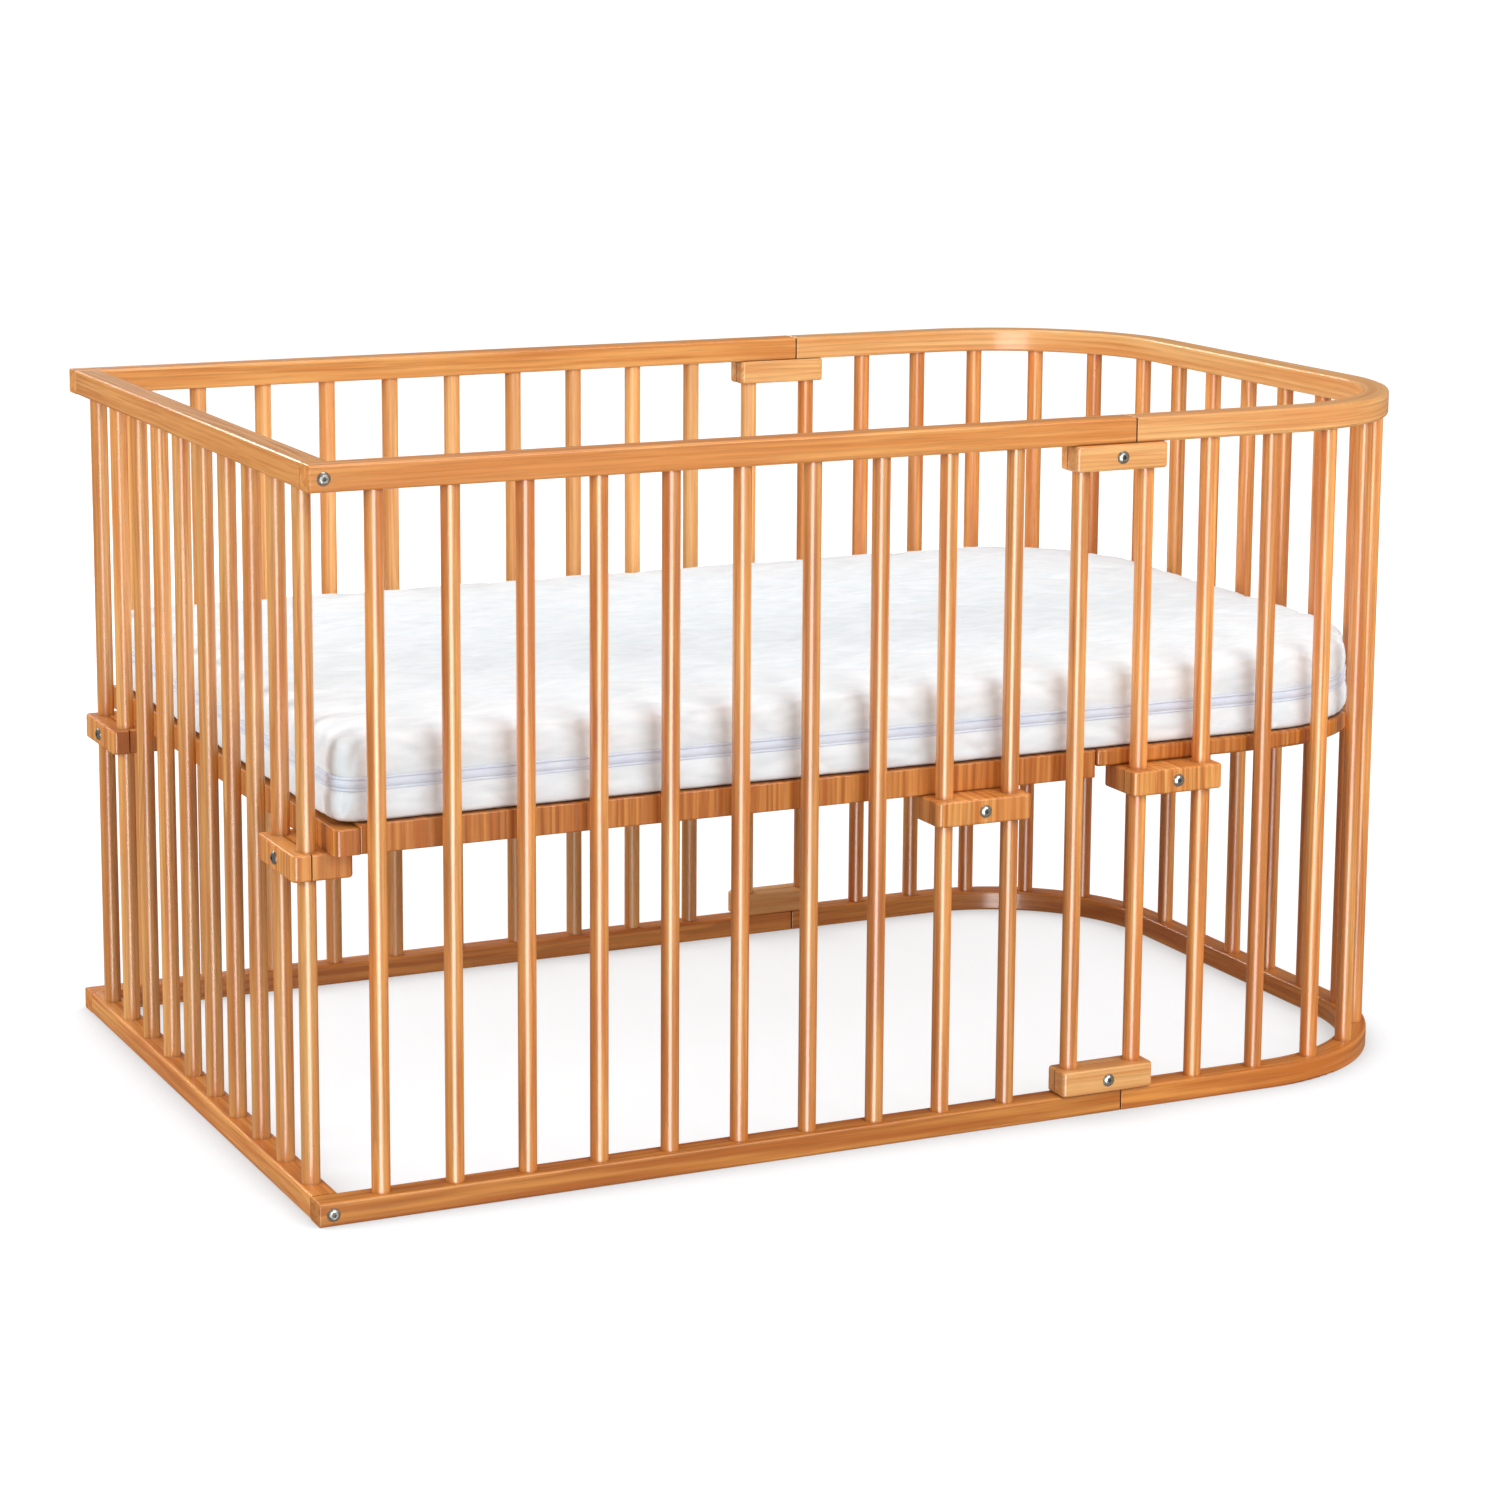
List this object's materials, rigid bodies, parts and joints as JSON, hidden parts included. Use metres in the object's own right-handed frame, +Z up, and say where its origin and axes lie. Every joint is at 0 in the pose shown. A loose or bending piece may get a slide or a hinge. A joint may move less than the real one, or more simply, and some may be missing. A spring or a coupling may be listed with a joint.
{
  "type": "playpen",
  "caption": "Wooden playpen cot with one rounded end, round spindles between top and base rails, and a height-adjustable bed base with a mattress on clamps.",
  "frame": {"origin": "on the floor, under the centre of the bounding box", "axes": "+X runs along the pen from its straight end to its rounded end, +Y from the front side to the back side, +Z up"},
  "size_m": [1.4212, 0.9082, 0.8],
  "materials": {
    "rail_wood": "lacquered solid wood, satin gloss, honey",
    "spindle_wood": "lacquered solid wood, satin gloss, honey",
    "connector_wood": "lacquered solid wood, satin gloss, honey",
    "support_wood": "lacquered solid wood, satin gloss, honey",
    "base_wood": "lacquered solid wood, satin gloss, honey",
    "slat_wood": "plain sanded wood",
    "dowel_wood": "plain beech",
    "bolt_steel": "nickel-plated steel, bright",
    "hidden_steel": "zinc-plated steel",
    "mattress_cover": "white quilted polyester cover, matt"
  },
  "bodies": {
    "frame": {"back_base_connector_inner": "connector_wood", "back_base_connector_outer": "connector_wood", "back_base_rail": "rail_wood", "back_spindles": "spindle_wood", "back_top_connector_inner": "connector_wood", "back_top_connector_outer": "connector_wood", "back_top_rail": "rail_wood", "connector_bolts": "bolt_steel", "connector_inserts": "hidden_steel", "corner_barrel_nuts": "hidden_steel", "corner_bolts": "bolt_steel", "curved_base_rail": "rail_wood", "curved_spindles": "spindle_wood", "curved_top_rail": "rail_wood", "end_base_rail": "rail_wood", "end_spindles": "spindle_wood", "end_top_rail": "rail_wood", "front_base_connector_inner": "connector_wood", "front_base_connector_outer": "connector_wood", "front_base_rail": "rail_wood", "front_spindles": "spindle_wood", "front_top_connector_inner": "connector_wood", "front_top_connector_outer": "connector_wood", "front_top_rail": "rail_wood"},
    "supports": {"back_curve_support_inner": "support_wood", "back_curve_support_outer": "support_wood", "back_middle_support_inner": "support_wood", "back_middle_support_outer": "support_wood", "end_back_support_inner": "support_wood", "end_back_support_outer": "support_wood", "end_front_support_inner": "support_wood", "end_front_support_outer": "support_wood", "front_curve_support_inner": "support_wood", "front_curve_support_outer": "support_wood", "front_middle_support_inner": "support_wood", "front_middle_support_outer": "support_wood", "support_bolts": "bolt_steel", "support_inserts": "hidden_steel"},
    "bed_base": {"base_back_rim": "base_wood", "base_battens": "base_wood", "base_crossbar": "base_wood", "base_curved_board": "base_wood", "base_dowels": "dowel_wood", "base_end_bar": "base_wood", "base_front_rim": "base_wood", "base_slats": "slat_wood", "batten_screws": "hidden_steel", "slat_screws": "hidden_steel"},
    "mattress": {"mattress": "mattress_cover"}
  },
  "joints": [
    {"name": "bed_height", "type": "slide", "parent": "frame", "child": "supports", "axis": [0, 0, 1], "range_m": [-0.305, 0.34]},
    {"name": "base_lift", "type": "slide", "parent": "supports", "child": "bed_base", "axis": [0, 0, 1], "range_m": [0, 0.43]},
    {"name": "mattress_lift", "type": "slide", "parent": "bed_base", "child": "mattress", "axis": [0, 0, 1], "range_m": [0, 0.4]}
  ]
}
